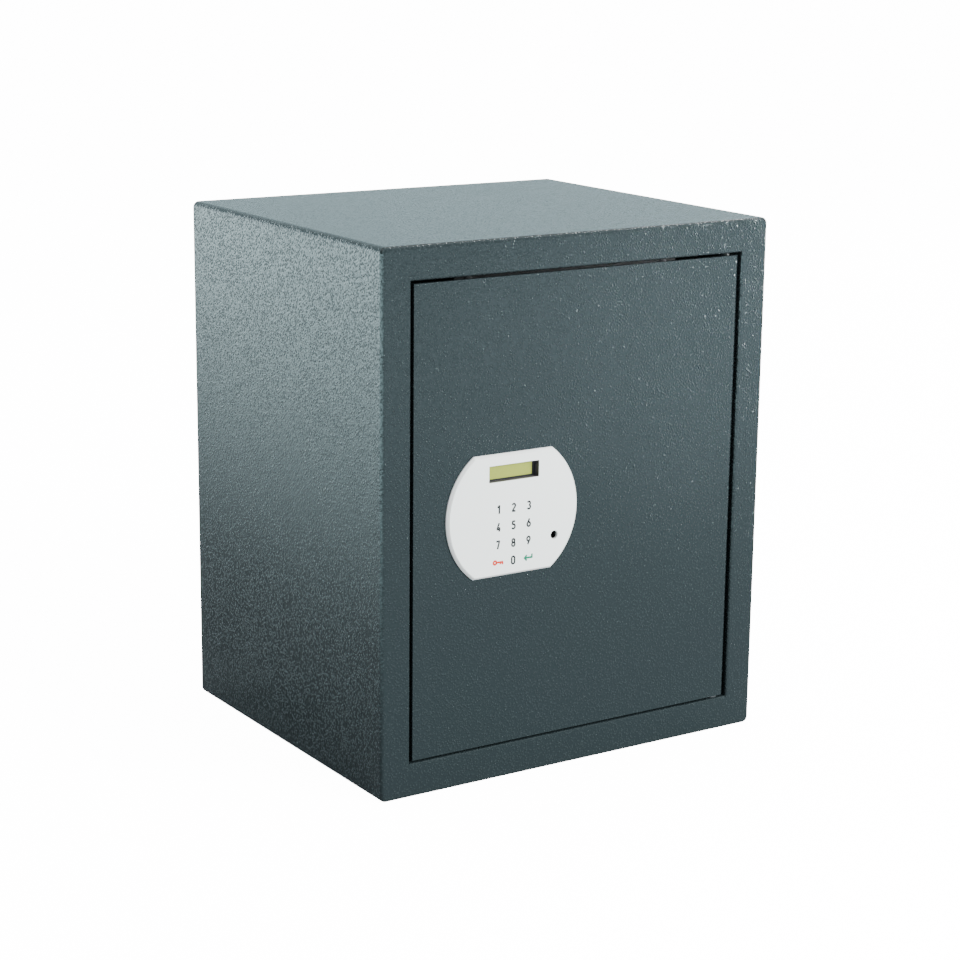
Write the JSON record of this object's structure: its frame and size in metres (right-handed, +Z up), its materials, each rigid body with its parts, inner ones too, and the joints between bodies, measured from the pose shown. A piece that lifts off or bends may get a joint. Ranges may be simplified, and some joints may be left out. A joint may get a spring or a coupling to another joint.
{
  "type": "electronic safe",
  "caption": "Free-standing electronic furniture safe with an inset door on the right hinge, a flush keypad with a display, motor driven bolts, a shelf and anchor holes.",
  "frame": {"origin": "centre of the cabinet's underside, on the surface that it stands on", "axes": "+Z up, the door faces -Y, +X to the right as seen from the front"},
  "size_m": [0.35, 0.3029, 0.416],
  "materials": {
    "paint": "fine hammertone powder coat, dark slate grey",
    "zinc_plate": "bright zinc plate",
    "bare_steel": "oiled steel",
    "spring_nickel": "nickel plate",
    "rubber": "matt rubber",
    "mat": "fine foamed mat",
    "white_plastic": "satin moulded plastic",
    "keypad_print": "printed matt foil",
    "key_plastic": "moulded plastic",
    "dark_plastic": "fine grained moulded plastic",
    "lcd": "reflective display, yellow green",
    "circuit_board": "green solder mask",
    "cable_grey": "soft grey insulation",
    "wire_red": "soft red insulation",
    "cell_wrap": "shrink wrap"
  },
  "bodies": {
    "cabinet": {"body_shell": "paint", "back_panel": "paint", "strike_plates": "paint", "hinge_brackets": "paint", "hinge_washer": "bare_steel", "door_stops": "paint", "door_buffers": "rubber", "shelf_rails": "paint", "shelf": "paint", "floor_mat": "mat"},
    "door": {"door_panel": "paint", "hinge_blocks": "paint", "hinge_pins": "zinc_plate", "bolt_guide": "zinc_plate", "lock_chassis": "zinc_plate", "chassis_spacers": "zinc_plate", "chassis_screws": "bare_steel", "guide_bushes": "bare_steel", "gearbox": "dark_plastic", "motor": "zinc_plate", "keypad_housing": "white_plastic", "keypad_foil": "keypad_print", "display_bezel": "dark_plastic", "lcd_module": "dark_plastic", "lcd_glass": "lcd", "keypad_pcb": "circuit_board", "key_switches": "bare_steel", "buzzer": "dark_plastic", "power_socket": "dark_plastic", "keypad_back": "white_plastic", "keypad_screws": "bare_steel", "ribbon_cable": "cable_grey", "control_board": "circuit_board", "limit_switch": "dark_plastic", "battery_box": "dark_plastic", "battery_cells": "cell_wrap", "battery_contacts": "spring_nickel", "wire_leads": "wire_red", "inner_cover": "paint", "cover_screws": "zinc_plate"},
    "battery_lid": {"battery_lid": "dark_plastic"},
    "boltwork": {"bolt_bar": "bare_steel", "upper_bolt": "zinc_plate", "lower_bolt": "zinc_plate", "bolt_pins": "bare_steel"},
    "pinion": {"drive_pinion": "bare_steel", "drive_shaft": "zinc_plate"},
    "key_1_body": {"key_1": "key_plastic"},
    "key_2_body": {"key_2": "key_plastic"},
    "key_3_body": {"key_3": "key_plastic"},
    "key_4_body": {"key_4": "key_plastic"},
    "key_5_body": {"key_5": "key_plastic"},
    "key_6_body": {"key_6": "key_plastic"},
    "key_7_body": {"key_7": "key_plastic"},
    "key_8_body": {"key_8": "key_plastic"},
    "key_9_body": {"key_9": "key_plastic"},
    "key_close_body": {"key_close": "key_plastic"},
    "key_0_body": {"key_0": "key_plastic"},
    "key_enter_body": {"key_enter": "key_plastic"}
  },
  "joints": [
    {"name": "door_hinge", "type": "hinge", "parent": "cabinet", "child": "door", "pos_m": [0.14, -0.142, 0.2085], "axis": [0, 0, 1], "range_deg": [0, 95]},
    {"name": "bolt_slide", "type": "slide", "parent": "door", "child": "boltwork", "axis": [-1, 0, 0], "range_m": [0, 0.02]},
    {"name": "pinion_spin", "type": "hinge", "parent": "door", "child": "pinion", "pos_m": [-0.051, -0.128, 0.22512], "axis": [0, 1, 0], "range_deg": [0, 144]},
    {"name": "battery_lid_slide", "type": "slide", "parent": "door", "child": "battery_lid", "axis": [0, 0, -1], "range_m": [0, 0.058]},
    {"name": "key_1_press", "type": "slide", "parent": "door", "child": "key_1_body", "axis": [0, 1, 0], "range_m": [0, 0.0003], "stiffness_N_per_m": 800},
    {"name": "key_2_press", "type": "slide", "parent": "door", "child": "key_2_body", "axis": [0, 1, 0], "range_m": [0, 0.0003], "stiffness_N_per_m": 800},
    {"name": "key_3_press", "type": "slide", "parent": "door", "child": "key_3_body", "axis": [0, 1, 0], "range_m": [0, 0.0003], "stiffness_N_per_m": 800},
    {"name": "key_4_press", "type": "slide", "parent": "door", "child": "key_4_body", "axis": [0, 1, 0], "range_m": [0, 0.0003], "stiffness_N_per_m": 800},
    {"name": "key_5_press", "type": "slide", "parent": "door", "child": "key_5_body", "axis": [0, 1, 0], "range_m": [0, 0.0003], "stiffness_N_per_m": 800},
    {"name": "key_6_press", "type": "slide", "parent": "door", "child": "key_6_body", "axis": [0, 1, 0], "range_m": [0, 0.0003], "stiffness_N_per_m": 800},
    {"name": "key_7_press", "type": "slide", "parent": "door", "child": "key_7_body", "axis": [0, 1, 0], "range_m": [0, 0.0003], "stiffness_N_per_m": 800},
    {"name": "key_8_press", "type": "slide", "parent": "door", "child": "key_8_body", "axis": [0, 1, 0], "range_m": [0, 0.0003], "stiffness_N_per_m": 800},
    {"name": "key_9_press", "type": "slide", "parent": "door", "child": "key_9_body", "axis": [0, 1, 0], "range_m": [0, 0.0003], "stiffness_N_per_m": 800},
    {"name": "key_close_press", "type": "slide", "parent": "door", "child": "key_close_body", "axis": [0, 1, 0], "range_m": [0, 0.0003], "stiffness_N_per_m": 800},
    {"name": "key_0_press", "type": "slide", "parent": "door", "child": "key_0_body", "axis": [0, 1, 0], "range_m": [0, 0.0003], "stiffness_N_per_m": 800},
    {"name": "key_enter_press", "type": "slide", "parent": "door", "child": "key_enter_body", "axis": [0, 1, 0], "range_m": [0, 0.0003], "stiffness_N_per_m": 800}
  ],
  "couplings": [
    {"joint": "pinion_spin", "follows": "bolt_slide", "rad_per_m": 125}
  ]
}
